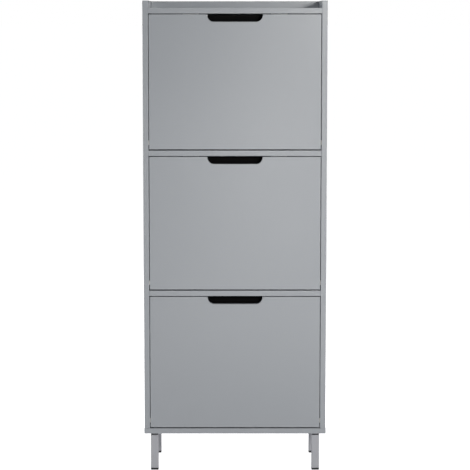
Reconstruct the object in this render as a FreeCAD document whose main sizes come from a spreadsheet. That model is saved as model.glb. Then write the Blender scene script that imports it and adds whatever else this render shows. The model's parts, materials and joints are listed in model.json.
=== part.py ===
"""Tall narrow shoe cabinet with three tilt-out flaps, in millimetres.

Frame: +X to the right, +Y to the back, +Z up, origin at the bottom centre of the whole cabinet,
on the floor. The flaps close flush with the front and turn about pins near their bottom edges.
"""
import FreeCAD, Part

import math
import os
import re

import Sketcher
from FreeCAD import Vector

SIZES = [
    # carcass
    ("carcass_width", 500, "over the outer faces of the side panels"),
    ("carcass_depth", 240, "front faces to the rear face of the back panel"),
    ("board_thickness", 15, "sides, dividers, top and bottom panels, rails"),
    ("back_thickness", 3, "hardboard back panel"),
    ("opening_height", 370, "clear height of each of the three openings"),
    ("gallery_height", 20, "rise of the sides and the rear rail above the top panel"),
    ("bottom_overhang", 1, "bottom panel past each side panel"),
    ("back_margin", 2, "back panel short of the top and side edges"),
    ("edge_round", 0.8, "softened edges of the painted boards"),
    # wall fixing
    ("wall_rail_height", 60, "rail under the top panel"),
    ("wall_hole_spacing", 300, "between the two wall screws"),
    ("wall_hole_radius", 3, "clearance for a 5 mm wall screw"),
    # legs
    ("leg_height", 105, "floor to the underside of the bottom panel"),
    ("leg_width", 21, "square steel tube"),
    ("leg_wall", 1.5, "tube wall"),
    ("leg_inset_x", 16.5, "outer face of a leg in from the side panel's outer face"),
    ("leg_inset_y", 10, "leg in from the front and back faces"),
    ("leg_round", 1.5, "tube's outer corners"),
    ("glide_height", 6, "plastic foot below the tube"),
    ("glide_chamfer", 1, "bottom edge of the foot"),
    ("collar_height", 6, "plastic neck between the tube and the panel"),
    ("collar_width", 18, "square neck"),
    ("plug_length", 14, "foot and neck inside the tube"),
    ("stud_radius", 4, "M8 stud"),
    ("insert_radius", 6, "threaded insert in the bottom panel"),
    ("insert_depth", 12, "threaded insert in the bottom panel"),
    # flaps
    ("flap_thickness", 15, "flap board"),
    ("gap_side", 1.5, "flap to side panel"),
    ("gap_top", 2, "flap to the board above"),
    ("gap_bottom", 3, "flap to the board below"),
    ("notch_width", 150, "finger notch at the flap's top edge"),
    ("notch_depth", 20, "finger notch"),
    ("notch_corner", 18, "rounded lower corners of the notch"),
    # finger guards, behind the notches
    ("guard_width", 172, "outside of the cup, over the notch"),
    ("guard_depth", 23.5, "outside, behind the flap"),
    ("guard_below", 29, "cup below the notch's lower edge"),
    ("guard_wall", 1.5, "moulded wall"),
    ("guard_lip_gap", 2, "cup below the flap's top edge"),
    ("guard_tab", 12, "screw tab at each end of the cup"),
    ("guard_tab_height", 24, "screw tab"),
    # hinges
    ("pivot_rise", 21, "pivot axis above the board below"),
    ("pin_radius", 3, "steel hinge pin"),
    ("pin_grip", 30, "pin inside the flap's edge"),
    ("pin_reach", 9, "pin inside the side panel"),
    ("running_clearance", 0.05, "pin in bush, radial"),
    ("bush_radius", 4.5, "nylon bush, barrel"),
    ("bush_depth", 11, "bush inside the side panel"),
    ("bush_flange", 6.5, "radius of the bush's flange"),
    ("flange_thickness", 1, "bush's flange"),
    # swing stop
    ("open_angle", 48, "full swing of a flap, degrees"),
    ("stop_radius", 140, "stop pin from the pivot axis"),
    ("stop_angle", 60, "stop pin above the horizontal behind the pivot, flap closed"),
    ("stop_pin_radius", 4, "nylon stop pin"),
    ("stop_collar", 7, "radius of the stop pin's collar"),
    ("stop_collar_length", 1.5, "collar against the side panel"),
    ("stop_pin_depth", 10, "pin inside the side panel"),
    ("stop_reach", 7, "pin beyond the side panel's inner face"),
    ("slot_clearance", 0.4, "slot around the stop pin"),
    # shoe rack
    ("rack_gap", 4, "rack's side plate to the side panel"),
    ("rack_side_thickness", 4, "plastic side plate"),
    ("rack_board", 6, "floor, divider and back board of the rack"),
    ("rack_rear_gap", 18, "rack's rear edge to the back panel"),
    ("rack_low", 4, "side plate's lower edge above the pivot"),
    ("rack_rear_height", 148, "side plate's rear edge"),
    ("rack_top_gap", 45, "side plate's upper edge below the board above"),
    ("rack_floor_low", 12, "underside of the rack floor above the pivot"),
    ("rack_margin", 2, "back board in from the side plates' rear edges"),
    ("front_row", 97.5, "clear depth of the front row of shoes"),
    ("divider_drop", 4, "rack divider below the side plates' upper edges"),
    ("rack_round", 14, "rounded corners of the side plates"),
    # brackets, catches and fasteners
    ("bracket_leg", 20, "steel corner bracket, each leg and its height"),
    ("bracket_thickness", 1.5, "steel corner bracket"),
    ("bracket_low", 50, "lower brackets above the pivot"),
    ("bracket_drop", 34, "upper brackets below the side plates' upper edges"),
    ("catch_place", 120, "catches to each side of the middle"),
    ("catch_width", 44, "magnetic catch"),
    ("catch_depth", 20, "magnetic catch"),
    ("catch_height", 13, "magnetic catch"),
    ("catch_gap", 0.3, "catch to strike plate, flap closed"),
    ("strike_width", 30, "steel strike plate"),
    ("strike_height", 9, "steel strike plate"),
    ("strike_thickness", 1.5, "steel strike plate"),
    ("screw_radius", 1.75, "wood screws"),
    ("screw_head", 3.5, "head radius of the wood screws"),
    ("head_height", 1.5, "screw heads"),
    ("screw_bite", 10, "screw in the flap board"),
    ("end_screw_bite", 18, "screw in the end of a rack board"),
    ("dowel_radius", 4, "beech dowel"),
    ("dowel_in_side", 10, "dowel in the side panel"),
    ("dowel_in_board", 20, "dowel in the board's end"),
    ("cam_radius", 7.5, "cam lock"),
    ("cam_height", 12, "cam lock"),
    ("cam_inset", 34, "cam lock's centre from the board's end"),
    ("cam_bolt_radius", 3.5, "cam bolt"),
    ("panel_screw_radius", 3.5, "screw up through the bottom panel"),
    ("panel_screw_head", 5, "its head"),
    ("panel_screw_sink", 3, "its head's height"),
    ("panel_screw_length", 50, "whole length"),
    ("back_screw_radius", 1.5, "back panel screw"),
    ("back_screw_head", 3, "its head"),
    ("back_screw_bite", 14, "in the rear edges"),
]
LEVELS = ["bottom", "middle", "top"]
SIDES = [("left", -1), ("right", 1)]
NORMALS = {"XY_Plane": 1, "XZ_Plane": -1, "YZ_Plane": 1}

doc = FreeCAD.newDocument("ShoeCabinet")
sheet = doc.addObject("Spreadsheet::Sheet", "Sizes")
for row, (size_name, size_value, size_note) in enumerate(SIZES, start=1):
    sheet.set(f"A{row}", size_name)
    sheet.set(f"B{row}", str(size_value))
    sheet.setAlias(f"B{row}", size_name)
    sheet.set(f"C{row}", size_note)
doc.recompute()

parts = []
volume_checks = []

# Places that several pieces share, as expressions on the sheet.
SIDE_OUT = "(carcass_width / 2)"
SIDE_IN = "(carcass_width / 2 - board_thickness)"
FRONT = "(-carcass_depth / 2)"
REAR = "(carcass_depth / 2 - back_thickness)"
BOTTOM_TOP = "(leg_height + board_thickness)"
LEVEL_STEP = "(opening_height + board_thickness)"
TOP_UNDER = f"({BOTTOM_TOP} + 3 * {LEVEL_STEP} - board_thickness)"
TOP_FACE = f"({TOP_UNDER} + board_thickness)"
CARCASS_TOP = f"({TOP_FACE} + gallery_height)"
PIVOT_Y = f"({FRONT} + flap_thickness / 2)"
FLAP_REAR = "(flap_thickness / 2)"
FLAP_SIDE = f"({SIDE_IN} - gap_side)"
FLAP_LOW = "(gap_bottom - pivot_rise)"
FLAP_TOP = "(opening_height - gap_top - pivot_rise)"
PLATE_OUT = f"({SIDE_IN} - rack_gap)"
PLATE_IN = f"({PLATE_OUT} - rack_side_thickness)"
RACK_REAR = f"({REAR} - {PIVOT_Y} - rack_rear_gap)"
RACK_TOP = "(opening_height - pivot_rise - rack_top_gap)"
DIVIDER_TOP = f"({RACK_TOP} - divider_drop)"
DIVIDER_FACE = f"({FLAP_REAR} + front_row)"
BACK_FACE = f"({RACK_REAR} - rack_margin - rack_board)"


def bound(expression):
    """An expression with every size name read from the sheet."""
    return re.sub(r"[a-z]+(?:_[a-z]+)+", lambda word: "Sizes." + word.group(0), expression)


def number(expression):
    """The present value of an expression."""
    return float(sheet.evalExpression(bound(expression)))


def opening_floor(level):
    """Height of the board under opening number level, counted from the bottom."""
    return f"({BOTTOM_TOP} + {level} * {LEVEL_STEP})"


def new_body(label, place=None):
    """A body named for its piece; place is an optional triple of expressions."""
    body = doc.addObject("PartDesign::Body", "Body_" + label)
    body.Label = label
    if place:
        for axis, expression in zip("xyz", place):
            body.setExpression(f"Placement.Base.{axis}", bound(expression))
    parts.append(body)
    return body


def sketch_on(body, plane, at):
    """An empty sketch on one of the body's own planes, moved along that plane's axis to at."""
    sketch = body.newObject("Sketcher::SketchObject", "Sketch")
    support = [item for item in body.Origin.OriginFeatures if item.Role == plane][0]
    sketch.AttachmentSupport = [(support, "")]
    sketch.MapMode = "FlatFace"
    sign = "" if NORMALS[plane] > 0 else "-"
    sketch.setExpression("AttachmentOffset.Base.z", bound(f"{sign}({at})"))
    return sketch


def pin_point(sketch, edge, end, place):
    """Tie one point of a sketch edge to a pair of expressions."""
    for kind, expression in zip(("DistanceX", "DistanceY"), place):
        value = number(expression)
        index = sketch.addConstraint(Sketcher.Constraint(kind, -1, 1, edge, end, value))
        sketch.setExpression(f"Constraints[{index}]", bound(expression))


def draw_loop(sketch, corners):
    """A closed outline. A corner is (x, y), or (x, y, radius) where an arc leaves it.

    A positive radius turns left along the outline, a negative one turns right, and every arc is
    shorter than a half circle.
    """
    count = len(corners)
    ends = []
    for index, corner in enumerate(corners):
        following = corners[(index + 1) % count]
        start = Vector(number(corner[0]), number(corner[1]), 0)
        finish = Vector(number(following[0]), number(following[1]), 0)
        if len(corner) == 2:
            edge = sketch.addGeometry(Part.LineSegment(start, finish))
            ends.append((edge, 1, 2))
            continue
        radius = number(corner[2])
        chord = finish - start
        rise = abs(radius) - math.sqrt(radius * radius - chord.Length ** 2 / 4)
        right = Vector(chord.y, -chord.x, 0).normalize()
        middle = (start + finish) * 0.5 + right * math.copysign(rise, radius)
        edge = sketch.addGeometry(Part.Arc(start, middle, finish))
        first = 1 if sketch.getPoint(edge, 1).distanceToPoint(start) < 1e-6 else 2
        ends.append((edge, first, 3 - first))
        length = sketch.addConstraint(Sketcher.Constraint("Radius", edge, abs(radius)))
        sketch.setExpression(f"Constraints[{length}]", bound(f"abs({corner[2]})"))
    for index, (edge, _, last) in enumerate(ends):
        next_edge, next_first, _ = ends[(index + 1) % count]
        sketch.addConstraint(Sketcher.Constraint("Coincident", edge, last, next_edge, next_first))
    for (edge, first, _), corner in zip(ends, corners):
        pin_point(sketch, edge, first, corner[:2])


def draw_circles(sketch, centres, radius):
    """Circles of one radius at a list of expression pairs."""
    for centre in centres:
        place = Vector(number(centre[0]), number(centre[1]), 0)
        edge = sketch.addGeometry(Part.Circle(place, Vector(0, 0, 1), number(radius)))
        index = sketch.addConstraint(Sketcher.Constraint("Radius", edge, number(radius)))
        sketch.setExpression(f"Constraints[{index}]", bound(radius))
        pin_point(sketch, edge, 3, centre)


def pad(body, sketch, length, towards=1):
    """Grow a sketch by length, towards the high (1) or low (-1) end of its plane's axis."""
    plane = sketch.AttachmentSupport[0][0].Role
    feature = body.newObject("PartDesign::Pad", "Pad")
    feature.Profile = sketch
    feature.Reversed = towards * NORMALS[plane] < 0
    feature.setExpression("Length", bound(length))
    doc.recompute()
    return feature


def cut(body, sketch, depth, towards, expected):
    """Pocket a sketch, towards the high or low end, and note the volume it has to remove."""
    plane = sketch.AttachmentSupport[0][0].Role
    before = body.Shape.Volume
    feature = body.newObject("PartDesign::Pocket", "Pocket")
    feature.Profile = sketch
    feature.Reversed = towards * NORMALS[plane] > 0
    feature.setExpression("Length", bound(depth))
    doc.recompute()
    volume_checks.append((body.Label, before - body.Shape.Volume, expected))


def block(body, plane, across, up, start, length):
    """A rectangular solid: two (low, high) pairs in the plane, then start and length along it."""
    sketch = sketch_on(body, plane, start)
    (left, right), (low, high) = across, up
    draw_loop(sketch, [(left, low), (right, low), (right, high), (left, high)])
    return pad(body, sketch, length)


def board(label, plane, across, up, start, length, place=None):
    """A plain rectangular board in a body of its own."""
    body = new_body(label, place)
    block(body, plane, across, up, start, length)
    return body


def discs(body, plane, start, towards, centres, radius, length, bore=None):
    """Round solids, or rings where there is a bore, standing on a plane."""
    sketch = sketch_on(body, plane, start)
    draw_circles(sketch, centres, radius)
    if bore:
        draw_circles(sketch, centres, bore)
    pad(body, sketch, length, towards)


def drill(body, plane, start, towards, centres, radius, depth):
    """Round holes that all lie inside the solid."""
    sketch = sketch_on(body, plane, start)
    draw_circles(sketch, centres, radius)
    expected = len(centres) * math.pi * number(radius) ** 2 * number(depth)
    cut(body, sketch, depth, towards, expected)


def round_edges(body, radius, chosen):
    """Fillet the edges of the body's last feature whose middle point passes the test."""
    base = body.Tip
    names = []
    for index, edge in enumerate(base.Shape.Edges, start=1):
        middle = edge.valueAt((edge.FirstParameter + edge.LastParameter) / 2)
        if chosen(edge, middle):
            names.append(f"Edge{index}")
    fillet = body.newObject("PartDesign::Fillet", "Fillet")
    fillet.Base = (base, names)
    fillet.setExpression("Radius", bound(radius))
    doc.recompute()


def runs_along(edge, axis):
    """True for a straight edge parallel to the axis."""
    start, finish = edge.Vertexes[0].Point, edge.Vertexes[-1].Point
    return abs(abs((finish - start).normalize().dot(axis)) - 1) < 1e-6


# ---- joints between the carcass boards ----
# Boards that end on the side panels, as (y, z) of each dowel and cam bolt in the board's end.
BOARD_MIDDLES = [f"({opening_floor(level)} - board_thickness / 2)" for level in (1, 2)]
BOARD_MIDDLES.append(f"({TOP_UNDER} + board_thickness / 2)")
DOWEL_PLACES = ["(-carcass_depth / 2 + 45)", "(carcass_depth / 2 - 60)"]
CAM_PLACE = "(-carcass_depth / 2 + 110)"
RAIL_Y = f"({REAR} - board_thickness / 2)"
GALLERY_Z = f"({TOP_FACE} + gallery_height / 2)"
WALL_RAIL_Z = f"({TOP_UNDER} - wall_rail_height / 2)"

dowel_points = [(y, z) for z in BOARD_MIDDLES for y in DOWEL_PLACES]
dowel_points.append((RAIL_Y, GALLERY_Z))
dowel_points.append((RAIL_Y, WALL_RAIL_Z))
cam_points = [(CAM_PLACE, z) for z in BOARD_MIDDLES]
pivot_points = [(PIVOT_Y, f"({opening_floor(level)} + pivot_rise)") for level in range(3)]
stop_points = [
    (f"({y} + stop_radius * cos(stop_angle))", f"({z} + stop_radius * sin(stop_angle))")
    for y, z in pivot_points
]
back_screw_heights = [
    f"({BOTTOM_TOP} + {share} * ({TOP_UNDER} - {BOTTOM_TOP}))" for share in (0.08, 0.36, 0.64, 0.92)
]
panel_screw_y = ["(-carcass_depth / 2 + 70)", "(carcass_depth / 2 - 70)"]

# ---- side panels ----
for side, sign in SIDES:
    panel = new_body(f"side_panel_{side}")
    low_x = SIDE_IN if sign > 0 else f"(-{SIDE_OUT})"
    inner = f"({sign} * {SIDE_IN})"
    block(panel, "YZ_Plane", (FRONT, REAR), (BOTTOM_TOP, CARCASS_TOP), low_x, "board_thickness")
    round_edges(
        panel, "edge_round",
        lambda edge, middle: middle.y < number(FRONT) + 1 or middle.z > number(CARCASS_TOP) - 1,
    )
    drill(panel, "YZ_Plane", inner, sign, dowel_points, "dowel_radius", "dowel_in_side")
    drill(panel, "YZ_Plane", inner, sign, cam_points, "cam_bolt_radius", "dowel_in_side")
    drill(panel, "YZ_Plane", inner, sign, pivot_points, "bush_radius", "bush_depth")
    drill(panel, "YZ_Plane", inner, sign, stop_points, "stop_pin_radius", "stop_pin_depth")
    middle_x = f"({sign} * ({SIDE_OUT} - board_thickness / 2))"
    drill(
        panel, "XY_Plane", BOTTOM_TOP, 1, [(middle_x, y) for y in panel_screw_y],
        "panel_screw_radius", "panel_screw_length - board_thickness",
    )
    drill(
        panel, "XZ_Plane", REAR, -1, [(middle_x, z) for z in back_screw_heights],
        "back_screw_radius", "back_screw_bite",
    )


# ---- boards between the side panels ----
def fit_between_sides(body, z):
    """Dowel and cam holes in both ends of a board whose middle plane is at height z."""
    for _, sign in SIDES:
        end = f"({sign} * {SIDE_IN})"
        points = [(y, z) for y in DOWEL_PLACES]
        drill(body, "YZ_Plane", end, -sign, points, "dowel_radius", "dowel_in_board")
        bolt = "cam_inset - cam_radius"
        drill(body, "YZ_Plane", end, -sign, [(CAM_PLACE, z)], "cam_bolt_radius", bolt)
    centres = [(f"({sign} * ({SIDE_IN} - cam_inset))", CAM_PLACE) for _, sign in SIDES]
    drill(body, "XY_Plane", f"{z} - board_thickness / 2", 1, centres, "cam_radius", "cam_height")


INSIDE = (f"(-{SIDE_IN})", SIDE_IN)
FULL_DEPTH = (FRONT, REAR)
BETWEEN = zip(["divider_lower", "divider_upper", "top_panel"], BOARD_MIDDLES)
for label, z in BETWEEN:
    underside = f"({z} - board_thickness / 2)"
    shelf = board(label, "XY_Plane", INSIDE, FULL_DEPTH, underside, "board_thickness")
    round_edges(
        shelf, "edge_round",
        lambda edge, middle: middle.y < number(FRONT) + 1 and runs_along(edge, Vector(1, 0, 0)),
    )
    fit_between_sides(shelf, z)

RAIL_DEPTH = (f"({REAR} - board_thickness)", REAR)
gallery = board(
    "gallery_rail", "XY_Plane", INSIDE, RAIL_DEPTH, TOP_FACE, "gallery_height",
)
round_edges(
    gallery, "edge_round",
    lambda edge, middle: middle.z > number(CARCASS_TOP) - 1 and runs_along(edge, Vector(1, 0, 0)),
)
wall_rail = board(
    "wall_rail", "XY_Plane", INSIDE, RAIL_DEPTH, f"{TOP_UNDER} - wall_rail_height",
    "wall_rail_height",
)
for rail, z in ((gallery, GALLERY_Z), (wall_rail, WALL_RAIL_Z)):
    for _, sign in SIDES:
        end = f"({sign} * {SIDE_IN})"
        drill(rail, "YZ_Plane", end, -sign, [(RAIL_Y, z)], "dowel_radius", "dowel_in_board")
wall_holes = [(f"({sign} * wall_hole_spacing / 2)", WALL_RAIL_Z) for _, sign in SIDES]
drill(wall_rail, "XZ_Plane", REAR, -1, wall_holes, "wall_hole_radius", "board_thickness")

# ---- bottom panel: the sides stand on it, the legs screw up into it ----
leg_centres = [
    (f"({sx} * ({SIDE_OUT} - leg_inset_x - leg_width / 2))",
     f"({sy} * (carcass_depth / 2 - leg_inset_y - leg_width / 2))")
    for sy in (-1, 1) for sx in (-1, 1)
]
BOTTOM_REACH = f"({SIDE_OUT} + bottom_overhang)"
SCREW_X = [f"({sign} * ({SIDE_OUT} - board_thickness / 2))" for _, sign in SIDES]
panel_screws = [(x, y) for x in SCREW_X for y in panel_screw_y]
bottom = board(
    "bottom_panel", "XY_Plane", (f"(-{BOTTOM_REACH})", BOTTOM_REACH), FULL_DEPTH, "leg_height",
    "board_thickness",
)
round_edges(bottom, "edge_round", lambda edge, middle: middle.y < number(REAR) - 1)
drill(bottom, "XY_Plane", "leg_height", 1, leg_centres, "insert_radius", "insert_depth")
drill(bottom, "XY_Plane", "leg_height", 1, panel_screws, "panel_screw_head", "panel_screw_sink")
drill(
    bottom, "XY_Plane", "leg_height + panel_screw_sink", 1, panel_screws, "panel_screw_radius",
    "board_thickness - panel_screw_sink",
)

# ---- back panel, screwed to the rear edges ----
BACK_SIDE = f"({SIDE_OUT} - back_margin)"
back_screws = [(x, z) for x in SCREW_X for z in back_screw_heights]
back = board(
    "back_panel", "XZ_Plane", (f"(-{BACK_SIDE})", BACK_SIDE),
    ("leg_height + back_margin", f"{TOP_FACE} - back_margin"), REAR, "back_thickness",
)
drill(back, "XZ_Plane", REAR, 1, wall_holes, "wall_hole_radius", "back_thickness")
drill(back, "XZ_Plane", REAR, 1, back_screws, "back_screw_radius", "back_thickness - head_height")
drill(
    back, "XZ_Plane", "carcass_depth / 2", -1, back_screws, "back_screw_head", "head_height",
)
screws = new_body("back_panel_screws")
discs(
    screws, "XZ_Plane", "carcass_depth / 2", -1, back_screws, "back_screw_head", "head_height",
)
discs(
    screws, "XZ_Plane", "carcass_depth / 2 - head_height", -1, back_screws, "back_screw_radius",
    "back_thickness - head_height + back_screw_bite",
)

# ---- legs ----
def square(sketch, centre, width):
    """A square outline about a pair of expressions."""
    x, y = centre
    half = f"({width}) / 2"
    draw_loop(sketch, [
        (f"{x} - {half}", f"{y} - {half}"), (f"{x} + {half}", f"{y} - {half}"),
        (f"{x} + {half}", f"{y} + {half}"), (f"{x} - {half}", f"{y} + {half}"),
    ])


def squares(body, centres, width, start, length):
    """Square posts standing side by side."""
    sketch = sketch_on(body, "XY_Plane", start)
    for centre in centres:
        square(sketch, centre, width)
    pad(body, sketch, length)


TUBE_TOP = "(leg_height - collar_height)"
TUBE_BORE = "(leg_width - 2 * leg_wall)"
leg_names = ["leg_front_left", "leg_front_right", "leg_back_left", "leg_back_right"]
for label, centre in zip(leg_names, leg_centres):
    tube = new_body(label)
    section = sketch_on(tube, "XY_Plane", "glide_height")
    square(section, centre, "leg_width")
    square(section, centre, TUBE_BORE)
    pad(tube, section, f"{TUBE_TOP} - glide_height")
    outer = number("leg_width") / 2 - 0.1
    x, y = number(centre[0]), number(centre[1])
    round_edges(
        tube, "leg_round",
        lambda edge, middle: runs_along(edge, Vector(0, 0, 1)) and abs(middle.x - x) > outer
        and abs(middle.y - y) > outer,
    )

glides = new_body("leg_glides")
squares(glides, leg_centres, "leg_width", "0", "glide_height")
round_edges(glides, "glide_chamfer", lambda edge, middle: middle.z < 0.1)
squares(glides, leg_centres, TUBE_BORE, "glide_height", "plug_length")

collars = new_body("leg_collars")
squares(collars, leg_centres, "collar_width", TUBE_TOP, "collar_height")
squares(collars, leg_centres, TUBE_BORE, f"{TUBE_TOP} - plug_length", "plug_length")
stud_length = "(plug_length + collar_height)"
drill(collars, "XY_Plane", "leg_height", -1, leg_centres, "stud_radius", stud_length)

studs = new_body("leg_studs")
discs(
    studs, "XY_Plane", f"leg_height - {stud_length}", 1, leg_centres, "stud_radius",
    f"{stud_length} + insert_depth",
)
inserts = new_body("leg_inserts")
discs(
    inserts, "XY_Plane", "leg_height", 1, leg_centres, "insert_radius", "insert_depth",
    bore="stud_radius",
)

# ---- fasteners of the carcass ----
dowels = new_body("dowels")
bolts = new_body("cam_bolts")
locks = new_body("cam_locks")
for _, sign in SIDES:
    outer_end = f"({sign} * ({SIDE_IN} + dowel_in_side))"
    dowel_length = "dowel_in_side + dowel_in_board"
    bolt_length = "dowel_in_side + cam_inset - cam_radius"
    discs(dowels, "YZ_Plane", outer_end, -sign, dowel_points, "dowel_radius", dowel_length)
    discs(bolts, "YZ_Plane", outer_end, -sign, cam_points, "cam_bolt_radius", bolt_length)
for _, z in cam_points:
    centres = [(f"({sign} * ({SIDE_IN} - cam_inset))", CAM_PLACE) for _, sign in SIDES]
    discs(locks, "XY_Plane", f"{z} - board_thickness / 2", 1, centres, "cam_radius", "cam_height")
screws = new_body("panel_screws")
discs(
    screws, "XY_Plane", "leg_height", 1, panel_screws, "panel_screw_head", "panel_screw_sink",
)
discs(
    screws, "XY_Plane", "leg_height + panel_screw_sink", 1, panel_screws, "panel_screw_radius",
    "panel_screw_length - panel_screw_sink",
)

# ---- bushes, stop pins and catches inside the carcass ----
bushes = new_body("pivot_bushes")
stops = new_body("stop_pins")
BUSH_BORE = "(pin_radius + running_clearance)"
for _, sign in SIDES:
    inner = f"({sign} * {SIDE_IN})"
    discs(bushes, "YZ_Plane", inner, sign, pivot_points, "bush_radius", "bush_depth", BUSH_BORE)
    discs(
        bushes, "YZ_Plane", inner, -sign, pivot_points, "bush_flange", "flange_thickness",
        BUSH_BORE,
    )
    pin_end = f"({sign} * ({SIDE_IN} + stop_pin_depth))"
    pin_length = "stop_pin_depth + stop_reach"
    discs(stops, "YZ_Plane", inner, -sign, stop_points, "stop_collar", "stop_collar_length")
    discs(stops, "YZ_Plane", pin_end, -sign, stop_points, "stop_pin_radius", pin_length)

catches = new_body("magnetic_catches")
CATCH_FACE = f"({PIVOT_Y} + {FLAP_REAR} + strike_thickness + catch_gap)"
for level in range(3):
    underside = f"({opening_floor(level)} + opening_height)"
    for _, sign in SIDES:
        x = f"({sign} * catch_place)"
        block(
            catches, "XY_Plane", (f"{x} - catch_width / 2", f"{x} + catch_width / 2"),
            (CATCH_FACE, f"{CATCH_FACE} + catch_depth"), f"{underside} - catch_height",
            "catch_height",
        )

# ---- flaps: every piece is drawn about its own pivot axis, X along the axis, Z up ----
PLATE_SPAN = (f"(-{PLATE_IN})", PLATE_IN)
BRACKET_HEIGHTS = ["bracket_low", f"({RACK_TOP} - bracket_drop - bracket_leg)"]
bracket_middles = [f"({low} + bracket_leg / 2)" for low in BRACKET_HEIGHTS]
door_screws = [
    (f"({sign} * ({PLATE_IN} - bracket_leg / 2))", z)
    for _, sign in SIDES for z in bracket_middles
]
plate_screws = [(f"({FLAP_REAR} + bracket_leg / 2)", z) for z in bracket_middles]
guard_screws = [
    (f"({sign} * (guard_width + guard_tab) / 2)", f"({FLAP_TOP} - notch_depth - 5)")
    for _, sign in SIDES
]
strike_centres = [
    (f"({sign} * catch_place)", f"({FLAP_TOP} - 1 - strike_height / 2)") for _, sign in SIDES
]
FLOOR_MIDDLE = "(rack_floor_low + rack_board / 2)"
DIVIDER_MIDDLE = f"({DIVIDER_FACE} + rack_board / 2)"
BACK_MIDDLE = f"({BACK_FACE} + rack_board / 2)"
floor_screws = [(f"({FLAP_REAR} + front_row / 3)", FLOOR_MIDDLE)]
floor_screws.append((f"({BACK_FACE} - front_row / 3)", FLOOR_MIDDLE))
divider_screws = [(DIVIDER_MIDDLE, f"({DIVIDER_TOP} * {share})") for share in (0.55, 0.9)]
back_board_screws = [(BACK_MIDDLE, f"(rack_rear_height * {share})") for share in (0.4, 0.85)]
rack_screw_points = floor_screws + divider_screws + back_board_screws


def screw_holes(body, points):
    """Holes for the rack screws in both ends of a rack board."""
    for _, sign in SIDES:
        end = f"({sign} * {PLATE_IN})"
        drill(body, "YZ_Plane", end, -sign, points, "screw_radius", "end_screw_bite")


def make_flap(name, place):
    """The board that shows, with its finger notch."""
    flap = new_body(f"flap_panel_{name}", place)
    face = sketch_on(flap, "XZ_Plane", f"-{FLAP_REAR}")
    notch_low = f"({FLAP_TOP} - notch_depth)"
    straight = f"({notch_low} + notch_corner)"
    draw_loop(face, [
        (f"(-{FLAP_SIDE})", FLAP_LOW),
        (FLAP_SIDE, FLAP_LOW),
        (FLAP_SIDE, FLAP_TOP),
        ("notch_width / 2", FLAP_TOP),
        ("notch_width / 2", straight, "-notch_corner"),
        ("notch_width / 2 - notch_corner", notch_low),
        ("-notch_width / 2 + notch_corner", notch_low, "-notch_corner"),
        ("-notch_width / 2", straight),
        ("-notch_width / 2", FLAP_TOP),
        (f"(-{FLAP_SIDE})", FLAP_TOP),
    ])
    pad(flap, face, "flap_thickness")
    half = number(FLAP_REAR)
    round_edges(flap, "edge_round", lambda edge, middle: abs(abs(middle.y) - half) < 0.01)
    for _, sign in SIDES:
        side = f"({sign} * {FLAP_SIDE})"
        drill(flap, "YZ_Plane", side, -sign, [("0", "0")], "pin_radius", "pin_grip")
    drill(flap, "XZ_Plane", FLAP_REAR, -1, door_screws, "screw_radius", "screw_bite")
    edge_screws = strike_centres + guard_screws
    drill(flap, "XZ_Plane", FLAP_REAR, -1, edge_screws, "screw_radius", "screw_bite")


def make_finger_guard(name, place):
    """Moulded cup behind the notch, open to the front and at the top, with a tab at each end."""
    guard = new_body(f"finger_guard_{name}", place)
    half = "(guard_width / 2)"
    top = f"({FLAP_TOP} - guard_lip_gap)"
    low = f"({FLAP_TOP} - notch_depth - guard_below)"
    block(guard, "XZ_Plane", (f"-{half}", half), (low, top), FLAP_REAR, "guard_depth")
    inside = sketch_on(guard, "XZ_Plane", FLAP_REAR)
    left, right = f"(guard_wall - {half})", f"({half} - guard_wall)"
    floor = f"({low} + guard_wall)"
    draw_loop(inside, [(left, floor), (right, floor), (right, top), (left, top)])
    depth = "guard_depth - guard_wall"
    hollow = number(f"({right} - {left}) * ({top} - {floor}) * ({depth})")
    cut(guard, inside, depth, 1, hollow)
    for (x, z), (_, sign) in zip(guard_screws, SIDES):
        tab = sketch_on(guard, "XZ_Plane", FLAP_REAR)
        near, far = sorted((f"({sign} * {half})", f"({sign} * ({half} + guard_tab))"), key=number)
        low_edge, high_edge = f"({z} - guard_tab_height / 2)", f"({z} + guard_tab_height / 2)"
        draw_loop(tab, [(near, low_edge), (far, low_edge), (far, high_edge), (near, high_edge)])
        pad(guard, tab, "guard_wall")
    face = f"({FLAP_REAR} + guard_wall)"
    drill(guard, "XZ_Plane", face, -1, guard_screws, "screw_radius", "guard_wall")


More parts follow.
